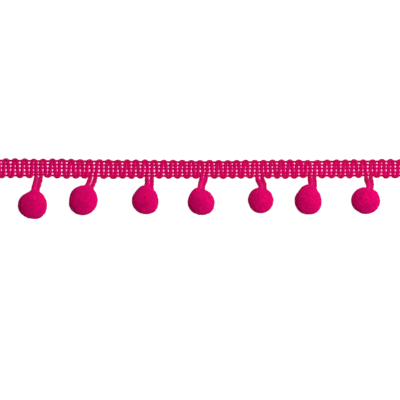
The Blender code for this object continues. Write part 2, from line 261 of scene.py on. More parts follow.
# What the settings of one kind share
COLOUR = {"subtype": "COLOR", "size": 3, "min": 0.0, "max": 1.0}
LENGTH = {"unit": "LENGTH", "subtype": "DISTANCE"}


# ---- settings


class TrimCordSettings(bpy.types.PropertyGroup):
    """Sizes and colours of the cord and the binding thread."""

    colour: bpy.props.FloatVectorProperty(
        name="Cord colour", description="Colour of the weft cord", default=(0.615, 0.001, 0.104), **COLOUR
    )
    # The cord's shade colour is its painted shade in the grooves between the plies. It is also the darker
    # tone of its fibres and patches.
    shade: bpy.props.FloatVectorProperty(
        name="Cord shade",
        description="Colour down in the cord's grooves",
        default=(0.41, 0.001, 0.07),
        **COLOUR,
    )
    thread_colour: bpy.props.FloatVectorProperty(
        name="Thread colour",
        description="Colour of the binding thread",
        default=(0.71, 0.001, 0.126),
        **COLOUR,
    )
    # Painted glow: the cord's sides at the gaps, its threads over them and its loops between their legs
    # shine with this colour and strength, though no lamp lights them.
    painted_glow_colour: bpy.props.FloatVectorProperty(
        name="Side colour",
        description="Colour of the light that comes through the cord's fluffy sides at the gaps",
        default=(1.0, 0.025, 0.46),
        **COLOUR,
    )
    painted_glow_strength: bpy.props.FloatProperty(
        name="Side glow",
        description="How much light comes through the cord's fluffy sides",
        default=0.75,
        min=0.0,
        max=2.0,
    )
    thread_radius: bpy.props.FloatProperty(
        name="Thread radius",
        description="Half the binding thread's thickness",
        default=THREAD_RADIUS * MM,
        min=0.05 * MM,
        max=0.5 * MM,
        **LENGTH,
    )
    hair_colour: bpy.props.FloatVectorProperty(
        name="Hair colour",
        description="Colour of the fine hairs that stand out of the yarns",
        default=(0.95, 0.02, 0.3),
        **COLOUR,
    )
    hair_radius: bpy.props.FloatProperty(
        name="Hair radius",
        description="Half the thickness of a fine hair",
        default=0.017 * MM,
        min=0.005 * MM,
        max=0.1 * MM,
        **LENGTH,
    )
    hair_spacing: bpy.props.FloatProperty(
        name="Hair spacing",
        description="Least distance between two hairs",
        default=0.66 * MM,
        min=0.2 * MM,
        max=5 * MM,
        **LENGTH,
    )


class TrimPileSettings(bpy.types.PropertyGroup):
    """Sizes and colours of the pompoms' clipped pile."""

    colour: bpy.props.FloatVectorProperty(
        name="Pile colour",
        description="Colour of the clipped yarn ends",
        default=(0.82, 0.001, 0.186),
        **COLOUR,
    )
    # The pile's shade colour is the painted shade deep between the yarn ends. It is also the darker tone of
    # some ends and patches.
    shade: bpy.props.FloatVectorProperty(
        name="Pile shade",
        description="Colour deep between the yarn ends",
        default=(0.55, 0.001, 0.117),
        **COLOUR,
    )
    pile_length: bpy.props.FloatProperty(
        name="Pile length",
        description="How far the yarn ends stand out of the pompom's dense middle",
        default=0.36 * MM,
        min=0.1 * MM,
        max=4 * MM,
        **LENGTH,
    )
    end_spacing: bpy.props.FloatProperty(
        name="End spacing",
        description="Least distance between two yarn ends",
        default=0.19 * MM,
        min=0.1 * MM,
        max=2 * MM,
        **LENGTH,
    )
    end_radius: bpy.props.FloatProperty(
        name="End radius",
        description="Half the thickness of one clipped yarn end",
        default=0.17 * MM,
        min=0.05 * MM,
        max=1 * MM,
        **LENGTH,
    )
    seed: bpy.props.IntProperty(
        name="Seed", description="Which scatter of yarn ends is used", default=5, min=0
    )


class TrimStageSettings(bpy.types.PropertyGroup):
    """The floor, lights and camera."""

    floor_colour: bpy.props.FloatVectorProperty(
        name="Floor colour", description="Colour of the plain floor", default=(0.2, 0.2, 0.2), **COLOUR
    )
    floor_glow: bpy.props.FloatProperty(
        name="Floor glow",
        description="How brightly the floor is lit from below, as a light table is",
        default=0.97,
        min=0.0,
        max=5.0,
    )
    view_width: bpy.props.FloatProperty(
        name="View width",
        description="Length of trim that the camera takes in",
        default=0.2183,
        min=0.05,
        max=1.0,
        **LENGTH,
    )
    view_x: bpy.props.FloatProperty(
        name="View middle along",
        description="Middle of the view, along the heading",
        default=0.0009,
        **LENGTH,
    )
    view_y: bpy.props.FloatProperty(
        name="View middle across",
        description="Middle of the view, across the heading",
        default=-0.0169,
        **LENGTH,
    )
    lens: bpy.props.FloatProperty(
        name="Lens",
        description="Focal length of the camera, in millimetres",
        default=150.0,
        min=20.0,
        max=400.0,
    )


# ---- selecting and finishing


def deselect_all():
    if bpy.context.object and bpy.context.object.mode != "OBJECT":
        bpy.ops.object.mode_set(mode="OBJECT")
    bpy.ops.object.select_all(action="DESELECT")


def take(thing):
    """Makes one object the only one that operators act on."""
    deselect_all()
    thing.select_set(True)
    bpy.context.view_layer.objects.active = thing


def finish_piece(piece, name, material, replaced=(), slot="trim_cord"):
    """Names a piece, gives it its material, puts its place in its mesh and hangs it on the trim."""
    piece.data.materials.clear()
    piece.data.materials.append(material)
    take(piece)
    bpy.ops.object.transform_apply(location=True, rotation=True, scale=True)
    bpy.ops.object.shade_smooth()
    piece.name = piece.data.name = name
    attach(piece, "root")
    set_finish(piece, slot)
    if replaced:
        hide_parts(*replaced)
    deselect_all()


# ---- materials


class Term:
    """A node's socket that can stand in a sum."""

    def __init__(self, nodes, socket):
        self.nodes = nodes
        self.socket = socket

    def __add__(self, other):
        return self.nodes.maths("ADD", self, other)

    __radd__ = __add__

    def __sub__(self, other):
        return self.nodes.maths("SUBTRACT", self, other)

    def __rsub__(self, other):
        return self.nodes.maths("SUBTRACT", other, self)

    def __mul__(self, other):
        return self.nodes.maths("MULTIPLY", self, other)

    __rmul__ = __mul__

    def __pow__(self, other):
        return self.nodes.maths("POWER", self, other)

    def __rpow__(self, other):
        return self.nodes.maths("POWER", other, self)


class Nodes:
    """A node tree, with one method that adds any node and short names for what is added often."""

    def __init__(self, tree):
        self.tree = tree

    def add(self, kind, settings=None, inputs=None, output=0):
        """Adds a node, makes its settings and then fills its sockets. Gives one of its outputs."""
        node = self.tree.nodes.new(kind)
        for key, value in (settings or {}).items():
            setattr(node, key, value)
        self.fill(node, inputs or {})
        return Term(self, node.outputs[output]) if node.outputs else None

    def fill(self, node, inputs):
        """Gives a node's sockets their values, or links terms to them."""
        for key, value in inputs.items():
            if isinstance(value, Term):
                self.tree.links.new(value.socket, node.inputs[key])
            else:
                node.inputs[key].default_value = value

    def maths(self, operation, a, b=0.0):
        return self.add("ShaderNodeMath", {"operation": operation}, {0: a, 1: b})

    def mixed(self, factor, a, b):
        """Colour a where the factor is 0, and b where it is 1. Sockets 6 and 7 take colours."""
        settings = {"data_type": "RGBA", "clamp_factor": True}
        return self.add("ShaderNodeMix", settings, {0: factor, 6: (*a, 1), 7: (*b, 1)}, output=2)

    def marked(self, name):
        """The number that each point was given under this name."""
        return self.add("ShaderNodeAttribute", {"attribute_name": name}, output="Fac")

    def part(self, vector, axis):
        """A vector's part along X, Y or Z."""
        return self.add("ShaderNodeSeparateXYZ", inputs={0: vector}, output=axis)

    def on_piece(self):
        """Places on the piece, in metres."""
        return self.add("ShaderNodeTexCoord", output="Object")

    def shape_of(self, thing):
        return self.add("GeometryNodeObjectInfo", inputs={"Object": thing}, output="Geometry")

    def noise(self, place, scale, detail=2.0):
        inputs = {"Vector": place, "Scale": scale, "Detail": detail}
        return self.add("ShaderNodeTexNoise", inputs=inputs)

    def bump(self, height, strength, distance):
        inputs = {"Strength": strength, "Distance": distance, "Height": height}
        return self.add("ShaderNodeBump", inputs=inputs)


def new_material(name):
    """A new material, its nodes and its Principled shader."""
    material = bpy.data.materials.new(name)
    material.use_nodes = True
    return material, Nodes(material.node_tree), material.node_tree.nodes["Principled BSDF"]


def woolly(roughness, sheen, tint):
    """The shader values of a soft matte yarn."""
    return {
        "Roughness": roughness,
        "Specular IOR Level": 0.04,
        "Sheen Weight": sheen,
        "Sheen Roughness": 0.5,
        "Sheen Tint": (*tint, 1.0),
    }


def cord_material(name, colour, settings, plies, fibres, length):
    """Spun cord with this many plies and fibres round it, for lines about this long.

    Where the cord's side faces a gap, a marked number up to 1 gives it a painted glow.
    """
    material, nodes, shader = new_material(name)
    place = nodes.add("ShaderNodeUVMap", {"uv_map": "UVMap"})
    along = nodes.part(place, "X") * length
    around = nodes.part(place, "Y") * (2 * math.pi)
    side = nodes.maths("COSINE", around)
    top = nodes.maths("SINE", around)
    on_piece = nodes.on_piece()
    run = along * FIBRE_RUN + nodes.part(on_piece, "X") * FIBRE_CHANGE
    strand = nodes.add("ShaderNodeCombineXYZ", inputs={0: side, 1: top, 2: run})
    spun = nodes.noise(strand, fibres / (2 * math.pi))
    patches = nodes.noise(on_piece, CORD_PATCHES)
    # Painted shade: the colour turns to the shade colour down in the grooves between the plies. The fibres
    # and patches are the yarn's own uneven tone.
    groove = (1 - nodes.maths("COSINE", around * plies)) * 0.5
    depth = groove**2 * GROOVE_PAINTED_SHADE
    paleness = 1 - depth - (0.5 - spun) * FIBRE_CONTRAST - (0.5 - patches) * CORD_PATCH_CONTRAST
    looks = {
        **woolly(roughness=0.8, sheen=0.06, tint=YARN_SHEEN),
        "Base Color": nodes.mixed(paleness, settings.shade, colour),
        # Painted glow: the sides that face a gap shine with their own colour, though no lamp lights them
        # there.
        "Emission Color": nodes.mixed(nodes.marked("painted_gap_glow"), (0, 0, 0), settings.painted_glow_colour),
        "Emission Strength": settings.painted_glow_strength,
        "Normal": nodes.bump(spun, strength=0.8, distance=0.25 * MM),
    }
    nodes.fill(shader, looks)
    return material


def pile_material(name, colour, shade):
    """Clipped yarn ends, painted darker towards their roots as shade deep among them. The number tip is 0
    at their roots and 1 at their tips.
    """
    material, nodes, shader = new_material(name)
    on_piece = nodes.on_piece()
    patches = nodes.noise(on_piece, PILE_PATCHES, detail=3.0)
    fluff = nodes.noise(on_piece, PILE_FLUFF)
    # Painted shade: the ends are darker towards their roots, deep among them. The end tone, patches and
    # fluff are the yarn's own uneven tone.
    paleness = nodes.marked("tip") * PAINTED_ROOT_SHADE + nodes.marked("end_tone") * END_TONE + PILE_TONE
    paleness = paleness - (0.5 - patches) * PILE_PATCH_CONTRAST - (0.5 - fluff) * PILE_FLUFF_CONTRAST
    looks = {
        **woolly(roughness=0.9, sheen=0.06, tint=YARN_SHEEN),
        "Base Color": nodes.mixed(paleness, shade, colour),
        "Normal": nodes.bump(fluff, strength=0.5, distance=0.1 * MM),
    }
    nodes.fill(shader, looks)
    return material


def hair_material(name, colour, shade):
    """Fine hairs, some paler than others."""
    material, nodes, shader = new_material(name)
    paleness = nodes.marked("end_tone") * (1 - HAIR_TONE) + HAIR_TONE
    looks = {
        **woolly(roughness=0.6, sheen=0.3, tint=HAIR_SHEEN),
        "Base Color": nodes.mixed(paleness, shade, colour),
    }
    nodes.fill(shader, looks)
    return material


def floor_material(colour, glow):
    material, nodes, shader = new_material("pale floor")
    looks = {
        "Base Color": (*colour, 1),
        "Roughness": 0.9,
        "Specular IOR Level": 0.1,
        "Emission Color": (1, 1, 1, 1),
        "Emission Strength": glow,
    }
    nodes.fill(shader, looks)
    return material


# ---- the heading's layout


def between(x, column):
    """DRIFT or WIDTH_CHANGE at x, on the straight lines between its numbers."""
    return float(np.interp(x, HEADING_X, column))


def place_of_pass(number):
    """Where along the heading a weft pass lies. Whole numbers are passes and halves are between."""
    numbers = [-0.5, *LOOP_PASSES, PASSES - 0.5]
    places = [-CUT_END_X, *(pompom.heading_x for pompom in POMPOMS), CUT_END_X]
    x = float(np.interp(number, numbers, places))
    return x + float(np.interp(x, SLIP_X, SLIP))


def loop_at(number):
    """The pompom whose loop takes the lower end of this pass, or None."""
    for place, pompom in zip(LOOP_PASSES, POMPOMS):
        if abs(number - place) < 1:
            return pompom
    return None


def edge_lift(x):
    """How far the loops pull up the heading's lower edge at x."""
    return sum(p.edge_lift * math.exp(-(((x - p.heading_x) / LIFT_REACH) ** 2)) for p in POMPOMS)


def smooth_step(low, high, value):
    share = min(max((value - low) / (high - low), 0.0), 1.0)
    return share * share * (3 - 2 * share)


def distances_along(line):
    """How far along a line each of its points lies."""
    runs = np.linalg.norm(np.diff(line[:, :3], axis=0), axis=1)
    return np.concatenate([[0.0], np.cumsum(runs)])


def resampled(points, step):
    """The same line with evenly spaced points. The columns are x, y, z and radius."""
    points = np.asarray(points, dtype=float)
    along = distances_along(points)
    places = np.linspace(0, along[-1], max(3, round(along[-1] / step) + 1))
    return np.stack([np.interp(places, along, column) for column in points.T], axis=1)


class WeftLayout:
    """The weft's line across the heading, with the small unevenness of a trim as it lies."""

    def __init__(self):
        draw = random.Random(WEFT_SEED)

        def uneven(least, most, count=PASSES):
            return [draw.uniform(least, most) for _ in range(count)]

        self.shift = uneven(-0.1, 0.1)
        self.lean = uneven(-0.12, 0.12)
        self.wave = uneven(-0.06, 0.06)
        self.turn_reach = uneven(-0.13, 0.1, 2 * PASSES)
        self.fullness = uneven(-0.05, 0.05)

    def turn_centre(self, number, side):
        """Across the heading, where the turn from this pass to the next starts."""
        x = place_of_pass(number + 0.5)
        crest = (HEADING_WIDTH + between(x, WIDTH_CHANGE)) / 2
        crest += CREST_RISE + self.turn_reach[2 * number + (side > 0)]
        if side < 0:
            crest -= edge_lift(x)
        return side * (crest - CREST_RADIUS - TURN_DEPTH)

    def pass_x(self, number, y):
        """Along the heading, where the pass is at this height across it."""
        x = place_of_pass(number) + self.shift[number] + self.lean[number] * y / LEAN_REACH
        x += self.wave[number] * math.sin(y * PASS_WAVE)
        way = 1 if (number % 2 == 1) == (y > 0) else -1
        pompom = None if y > 0 else loop_at(number)
        if pompom:
            leg_x = pompom.heading_x - way * pompom.leg_gap / 2
            return x + (leg_x - x) * smooth_step(LOOP_DRAW_FROM, TURN_DRAW_TO, abs(y))
        return x + way * TURN_PINCH * smooth_step(TURN_DRAW_FROM, TURN_DRAW_TO, abs(y))

    def radius_at(self, number, y):
        """The cord is squeezed under each wale and swells between them."""
        bound = (1 + math.cos(2 * math.pi * y / WALE_PITCH)) / 2
        full = PASS_RADIUS + self.fullness[number]
        return full + (BOUND_RADIUS - full) * bound

    def pass_points(self, number, start, end):
        """Points down or up one pass, between two heights across the heading."""
        count = max(2, round(abs(end - start) / PASS_STEP))
        return [
            (self.pass_x(number, y), y, CORD_HEIGHT, self.radius_at(number, y))
            for y in np.linspace(start, end, count)
        ]

    def turn_points(self, number, side):
        """Points round the turn from this pass to the next."""
        centre_y = self.turn_centre(number, side)
        left, right = self.pass_x(number, centre_y), self.pass_x(number + 1, centre_y)
        middle, half = (left + right) / 2, (right - left) / 2
        points = []
        for angle in np.linspace(0, math.pi, TURN_STEPS)[1:-1]:
            swell = math.sin(angle)
            x = middle - (half + TURN_FLARE * swell) * math.cos(angle)
            y = centre_y + side * TURN_DEPTH * swell
            radius = self.radius_at(number, centre_y) * (1 - swell) + CREST_RADIUS * swell
            points.append((x, y, CORD_HEIGHT - TURN_SINK * swell, radius))
        return points

    def run(self, first, last):
        """The weft's line from one pass to another, ending at a loop or at a cut."""
        points = []
        for number in range(first, last + 1):
            down = number % 2 == 0
            cut = number in (0, PASSES - 1)
            top = OUTER_WALE if cut else self.turn_centre(number - down, 1)
            low = -OUTER_WALE if loop_at(number) else self.turn_centre(number - (not down), -1)
            points += self.pass_points(number, *((top, low) if down else (low, top)))
            if number < last:
                points += self.turn_points(number, -1 if down else 1)
        points = np.array(points)
        points[:, 1] += [between(x, DRIFT) for x in points[:, 0]]
        return resampled(points, CORD_STEP)

    def runs(self):
        """One line for each length of weft between two loops."""
        starts = [0] + [round(place + 0.5) for place in LOOP_PASSES]
        ends = [start - 1 for start in starts[1:]] + [PASSES - 1]
        return [self.run(start, end) for start, end in zip(starts, ends)]


# ---- cords


def remove_object(thing):
    take(thing)
    bpy.ops.object.delete()


def ply_section(plies, groove, steps):
    """The section of a plied cord, 1 mm in radius: a closed curve with a lobe for each ply."""
    bpy.ops.curve.primitive_bezier_circle_add(radius=MM)
    section = bpy.context.object
    curve = section.data
    curve.splines.clear()
    spline = curve.splines.new("POLY")
    spline.points.add(steps - 1)
    for step, point in enumerate(spline.points):
        angle = 2 * math.pi * step / steps
        radius = 1 - groove * (1 - math.cos(plies * angle)) / 2
        point.co = (radius * MM * math.cos(angle), radius * MM * math.sin(angle), 0, 1)
    spline.use_cyclic_u = True
    return section


def cord_from_lines(name, lines, shape=None, twist_pitch=math.inf):
    """A cord swept along each line, turning as its plies do, as one mesh. With no shape it is round."""
    section = ply_section(*shape) if shape else None
    curve = bpy.data.curves.new(name, "CURVE")
    curve.dimensions = "3D"
    curve.use_fill_caps = True
    curve.twist_mode = "Z_UP"
    if section:
        curve.bevel_mode = "OBJECT"
        curve.bevel_object = section
    else:
        curve.bevel_depth = MM
        curve.bevel_resolution = 1
    for line in lines:
        spline = curve.splines.new("POLY")
        spline.points.add(len(line) - 1)
        for point, (x, y, z, radius), place in zip(spline.points, line, distances_along(line)):
            point.co = (x * MM, y * MM, z * MM, 1)
            point.radius = radius
            point.tilt = 2 * math.pi * place / twist_pitch
    cord = bpy.data.objects.new(name, curve)
    bpy.context.collection.objects.link(cord)
    take(cord)
    bpy.ops.object.convert(target="MESH")
    if section:
        remove_object(section)
    return cord


def close_caps(piece):
    """Welds a cord's end caps to it and turns every face outwards."""
    take(piece)
    bpy.ops.object.mode_set(mode="EDIT")
    bpy.ops.mesh.select_all(action="SELECT")
    bpy.ops.mesh.remove_doubles(threshold=TINY)
    bpy.ops.mesh.normals_make_consistent(inside=False)
    bpy.ops.object.mode_set(mode="OBJECT")


# ---- chain stitches


def stitch_points(wale, number):
    """One chain stitch of a wale, over one pass of the weft."""
    start, end = place_of_pass(number - 0.5), place_of_pass(number + 0.5)
    offset = WALE_PITCH * wale - OUTER_WALE
    mirrored = [(along, -across, up) for along, across, up in reversed(STITCH_LEG)]
    points = []
    for along, across, up in (*STITCH_LEG, STITCH_HEAD, *mirrored, *STITCH_UNDERLAP):
        x = start + (end - start) * along
        widened = (HEADING_WIDTH + between(x, WIDTH_CHANGE)) / HEADING_WIDTH
        y = offset * widened + across + between(x, DRIFT) + WALE_RISES[wale]
        if wale == 0:
            y += LOWEST_CHAIN_LIFT * edge_lift(x)
        points.append((x, y, up))
    return points


def laid_on_weft(points, tree, weft, radius):
    """Lifts the thread over the weft cord, or presses it under, wherever it crosses."""
    laid = []
    for x, y, z in points:
        _, index, off = tree.find((x, y, CORD_HEIGHT))
        width = weft[index][3]
        rise = CORD_FLATTENING * math.sqrt(max(width**2 - off**2, 0)) + THREAD_SINK * radius
        if z > CORD_HEIGHT + THREAD_OVER:
            z = max(z, CORD_HEIGHT + rise)
        elif z < THREAD_UNDER:
            z = max(min(z, CORD_HEIGHT - rise), THREAD_RESTS * radius)
        laid.append((x, y, z, radius))
    return np.array(laid)


def corners_cut(line):
    """The same line with each corner cut off at a quarter of its sides."""
    near = 0.75 * line[:-1] + 0.25 * line[1:]
    far = 0.25 * line[:-1] + 0.75 * line[1:]
    cut = np.stack([near, far], axis=1).reshape(-1, line.shape[1])
    return np.concatenate([line[:1], cut, line[-1:]])


# ---- pompom shapes


def unit(vectors):
    return vectors / np.linalg.norm(vectors, axis=-1, keepdims=True)


def in_plan(degrees, rise=0.0):
    angle = math.radians(degrees)
    return unit(np.array([math.cos(angle), math.sin(angle), rise]))


def half_height(pompom):
    return HEIGHT_SHARE * (pompom.width + pompom.length) / 4


def centre_of(pompom):
    middle = np.array([pompom.centre_x, pompom.centre_y, half_height(pompom) - FLATTENING])
    return middle + PILE_SHIFT


def bump_towards(directions, peak, width):
    """1 in the direction of the peak, falling away over an angle of about the width."""
    off = np.arccos(np.clip(directions @ peak, -1, 1)) / width
    return np.exp(-(off**2))


def unevenness(directions, draw, waves, wavelength, height):
    """Soft lumps and hollows of a hand-clipped ball, as a length for each direction."""
    ways = unit(draw.normal(size=(waves, 3)))
    counts = 2 * math.pi / (wavelength * draw.uniform(0.7, 1.4, waves))
    starts = draw.uniform(0, 2 * math.pi, waves)
    return np.cos(directions @ ways.T * counts + starts).sum(axis=1) * height / math.sqrt(waves)


def reach_towards(pompom, directions):
    """How far the clipped pile reaches in each direction from the pompom's middle."""
    halves = np.array([pompom.width / 2, pompom.length / 2, half_height(pompom)])
    radius = 1 / np.linalg.norm(directions / halves, axis=-1)
    swell = pompom.swell * bump_towards(directions, in_plan(pompom.swell_deg), SWELL_WIDTH)
    bulge = pompom.bulge * bump_towards(directions, in_plan(pompom.bulge_deg), BULGE_WIDTH)
    dent = pompom.dent * bump_towards(directions, in_plan(pompom.dent_deg), DENT_WIDTH)
    over_loop = in_plan(pompom.entry_deg, PARTING_RISE)
    parted = pompom.parting * bump_towards(directions, over_loop, PARTING_WIDTH)
    return radius * (1 + swell + bulge - dent - parted)


def loop_line(pompom):
    """A loop's middle line: where it leaves the heading, where it enters its pompom and how."""
    start_y = -(HEADING_WIDTH / 2 - SCALLOP_DEPTH) - LEG_START_FROM_EDGE
    start_y += between(pompom.heading_x, DRIFT) - between(pompom.heading_x, WIDTH_CHANGE) / 2
    start = np.array([pompom.heading_x, start_y, LEG_START_HEIGHT])
    centre = centre_of(pompom)
    towards = in_plan(pompom.entry_deg)
    plain = pompom._replace(parting=0.0)
    entry = centre + towards * reach_towards(plain, towards)
    entry[2] = pompom.entry_height
    inward = unit(unit(entry - start) + unit(centre - entry))
    return start, entry, inward


def middle_points(pompom):
    """Points down the middle of a loop, from the heading to the tie."""
    start, entry, inward = loop_line(pompom)
    handle = LEG_BEND * np.linalg.norm(entry - start)
    lean = LEG_LEAN * (entry[0] - start[0]) / (start[1] - entry[1])
    leaving = start + handle * np.array([lean, -1.0, LEG_RISE])
    arriving = entry - inward * handle
    share = np.arange(LEG_STEPS + 1)[:, None] / LEG_STEPS
    rest = 1 - share
    curve = rest**3 * start + 3 * rest**2 * share * leaving
    curve += 3 * rest * share**2 * arriving + share**3 * entry
    return np.vstack([curve, entry + inward * (TIE_DEPTH - pompom.tie_gap / 2)])


def loop_points(pompom, layout):
    """A loop's cord, from under the heading's lowest wale, round its tie and back."""
    middles = middle_points(pompom)
    travels = unit(np.gradient(middles, axis=0))
    number = round(LOOP_PASSES[POMPOMS.index(pompom)] - 0.5)
    drift = between(pompom.heading_x, DRIFT)
    legs = {}
    for side, which in ((-1, number + 1), (1, number)):
        x = layout.pass_x(which, -OUTER_WALE)
        bound = (x, -OUTER_WALE + drift, CORD_HEIGHT, BOUND_RADIUS)
        swollen = (x, -OUTER_WALE - LOOP_TOP_DEPTH + drift, CORD_HEIGHT, LOOP_TOP_RADIUS)
        legs[side] = [bound, swollen]
    for i, (middle, travel) in enumerate(zip(middles, travels)):
        share = i / (len(middles) - 1)
        across = unit(np.cross(travel, (0, 0, 1))) if i else np.array([-1.0, 0, 0])
        gap = pompom.leg_gap + (pompom.tie_gap - pompom.leg_gap) * share - 2 * LEG_DRAW
        radius = min(LEG_RADIUS, LEG_PRESS * gap / 2)
        for side in legs:
            legs[side].append((*(middle + across * side * gap / 2), radius))
    turn = []
    for angle in np.linspace(0, math.pi, TIE_STEPS)[1:-1]:
        swing = travel * math.sin(angle) - across * math.cos(angle)
        turn.append((*(middle + swing * gap / 2), radius))
    line = resampled(legs[-1] + turn + legs[1][::-1], LOOP_STEP)
    return smoothed(line, LOOP_SMOOTHINGS)


def smoothed(line, rounds):
    """Takes the corners off a line, leaving its ends where they are."""
    for _ in range(rounds):
        inner = (line[:-2] + 2 * line[1:-1] + line[2:]) / 4
        line = np.concatenate([line[:1], inner, line[-1:]])
    return line


def nearest_on_line(points, line):
    """For each point, the nearest place on a line, and the line's radius there."""
    best = np.full(len(points), np.inf)
    places = np.zeros_like(points)
    radii = np.zeros(len(points))
    for a, b in zip(line[:-1], line[1:]):
        run = b[:3] - a[:3]
        share = np.clip((points - a[:3]) @ run / (run @ run), 0, 1)
        near = a[:3] + share[:, None] * run
        distance = np.linalg.norm(points - near, axis=1)
        closer = distance < best
        best[closer] = distance[closer]
        places[closer] = near[closer]
        radii[closer] = (a[3] + share * (b[3] - a[3]))[closer]
    return places, best, radii


# ---- pompom pile


def yarn_end(radius, length):
    """One clipped yarn end: a short strand, a little thinner at its tip."""
    bpy.ops.mesh.primitive_cone_add(
        vertices=END_SIDES,
        radius1=radius,
        radius2=radius * END_TAPER,
        depth=length,
        location=(0, 0, length / 2),
    )
    bpy.ops.object.transform_apply(location=True, rotation=False, scale=False)
    return bpy.context.object


def yarn_hair(radius):
    """A fine hair that stands out of a yarn and curls over."""
    bends = (
        (0.0, 0.0, -0.06, 1.0),
        (0.1, 0.01, 0.15, 1.0),
        (0.28, 0.04, 0.27, 0.9),
        (0.5, 0.11, 0.29, 0.8),
        (0.7, 0.22, 0.2, 0.5),
    )
    line = np.array([(x, y, z, width * radius / MM) for x, y, z, width in bends])
    return cord_from_lines("yarn_hair", [line], HAIR_SECTION)


def strewn(nodes, base, strand, spacing, seed, lean, sizes, thickly=1.0):
    """Adds nodes that stand copies of a strand all over some faces. Gives them as one mesh."""
    settings = {"distribute_method": "POISSON"}
    amounts = {
        "Mesh": base,
        "Distance Min": spacing,
        "Density Max": THICKEST_SCATTER / spacing**2,
        "Density Factor": thickly,
        "Seed": seed,
    }
    roots = nodes.add("GeometryNodeDistributePointsOnFaces", settings, amounts)
    upright = Term(nodes, roots.socket.node.outputs["Rotation"])
    number, vector = {"data_type": "FLOAT"}, {"data_type": "FLOAT_VECTOR"}
    limits = {2: 0.0, 3: 1.0, "Seed": seed + 1}
    tone = nodes.add("FunctionNodeRandomValue", number, limits, output=1)
    marked = {"Geometry": roots, "Name": "end_tone", "Value": tone}
    toned = nodes.add("GeometryNodeStoreNamedAttribute", {**number, "domain": "POINT"}, marked)
    limits = {0: (-lean, -lean, 0.0), 1: (lean, lean, 2 * math.pi), "Seed": seed + 2}
    tilt = nodes.add("FunctionNodeRandomValue", vector, limits)
    turn = nodes.add("FunctionNodeEulerToRotation", inputs={0: tilt})
    turning = {"Rotation": upright, "Rotate By": turn}
    turned = nodes.add("FunctionNodeRotateRotation", {"rotation_space": "LOCAL"}, turning)
    limits = {0: sizes[0], 1: sizes[1], "Seed": seed + 3}
    size = nodes.add("FunctionNodeRandomValue", vector, limits)
    copy = nodes.shape_of(strand)
    standing = {"Points": toned, "Instance": copy, "Rotation": turned, "Scale": size}
    copies = nodes.add("GeometryNodeInstanceOnPoints", inputs=standing)
    return nodes.add("GeometryNodeRealizeInstances", inputs={"Geometry": copies})


def geometry_group(name):
    """An empty Geometry Nodes group: its nodes, and the geometry that comes in."""
    tree = bpy.data.node_groups.new(name, "GeometryNodeTree")
    for way in ("INPUT", "OUTPUT"):
        tree.interface.new_socket("Geometry", in_out=way, socket_type="NodeSocketGeometry")
    nodes = Nodes(tree)
    return nodes, nodes.add("NodeGroupInput")


def joined(nodes, parts):
    """Adds the node that joins these geometries."""
    join = nodes.add("GeometryNodeJoinGeometry")
    for part in parts:
        nodes.tree.links.new(part.socket, join.socket.node.inputs["Geometry"])
    return join


def pile_nodes(strand, spacing, seed):
    """Nodes that stand yarn ends all over a ball and join them to it."""
    nodes, ball = geometry_group("clipped pile")
    ends = strewn(nodes, ball, strand, spacing, seed, END_LEAN, END_SIZES)
    nodes.add("NodeGroupOutput", inputs={"Geometry": joined(nodes, [ball, ends])})
    return nodes.tree


def fuzz_nodes(hair, cords, spacing, seed):
    """Nodes that give only the hairs standing out of these cords."""
    nodes, _ = geometry_group("yarn fuzz")
    faces = joined(nodes, [nodes.shape_of(cord) for cord in cords])
    normal = nodes.add("GeometryNodeInputNormal")
    thickly = nodes.maths("ABSOLUTE", nodes.part(normal, "X")) ** 3 + HAIR_LEAST
    hairs = strewn(nodes, faces, hair, spacing, seed, HAIR_LEAN, HAIR_SIZES, thickly)
    nodes.add("NodeGroupOutput", inputs={"Geometry": hairs})
    return nodes.tree


def modified(piece, name, tree):
    """Runs a piece through Geometry Nodes and keeps the result as its mesh."""
    modifier = piece.modifiers.new(name, "NODES")
    modifier.node_group = tree
    take(piece)
    if bpy.ops.object.modifier_apply(modifier=modifier.name) != {"FINISHED"}:
        raise RuntimeError(f"{name}: its nodes could not be applied")
    bpy.data.node_groups.remove(tree)


def read_points(mesh):
    flat = np.empty(3 * len(mesh.vertices), dtype=np.float32)
    mesh.vertices.foreach_get("co", flat)
    return flat.reshape(-1, 3).astype(float) / MM


def write_points(mesh, points):
    mesh.vertices.foreach_set("co", (points * MM).astype(np.float32).ravel())
    mesh.update()


def lift_points(mesh, height):
    """Lifts all that is lower than this to this height, and gives the points."""
    points = read_points(mesh)
    points[:, 2] = np.maximum(points[:, 2], height)
    write_points(mesh, points)
    return points


def mark_points(mesh, name, values):
    """Gives each point of a mesh a number, for its material to read."""
    attribute = mesh.attributes.new(name, "FLOAT", "POINT")
    attribute.data.foreach_set("value", values.astype(np.float32))


def facing_next_pass(mesh, points):
    """How squarely each point of the weft faces the next pass across a gap in the heading, as the strength
    of its painted glow.
    """
    normals = np.empty(3 * len(mesh.vertices), dtype=np.float32)
    mesh.vertex_normals.foreach_get("vector", normals)
    aside = np.abs(normals[::3]) ** SIDE_SHARPNESS
    in_heading = np.clip((HEADING_WIDTH / 2 - np.abs(points[:, 1])) / SIDE_FADE, 0, 1)
    return aside * in_heading * (np.abs(points[:, 0]) < CUT_END_X - 1)


def over_gaps(points, layout, wale):
    """How far out over a gap each point of a chain is, none of the way over a pass of the weft, as the
    strength of its painted glow.
    """
    y = WALE_PITCH * wale - OUTER_WALE
    passes = np.array([layout.pass_x(number, y) for number in range(PASSES)])
    distance = np.abs(points[:, :1] - passes).min(axis=1)
    return THREAD_PAINTED_GLOW[wale] * np.clip((distance - GAP_STARTS) / GAP_FADE, 0, 1)


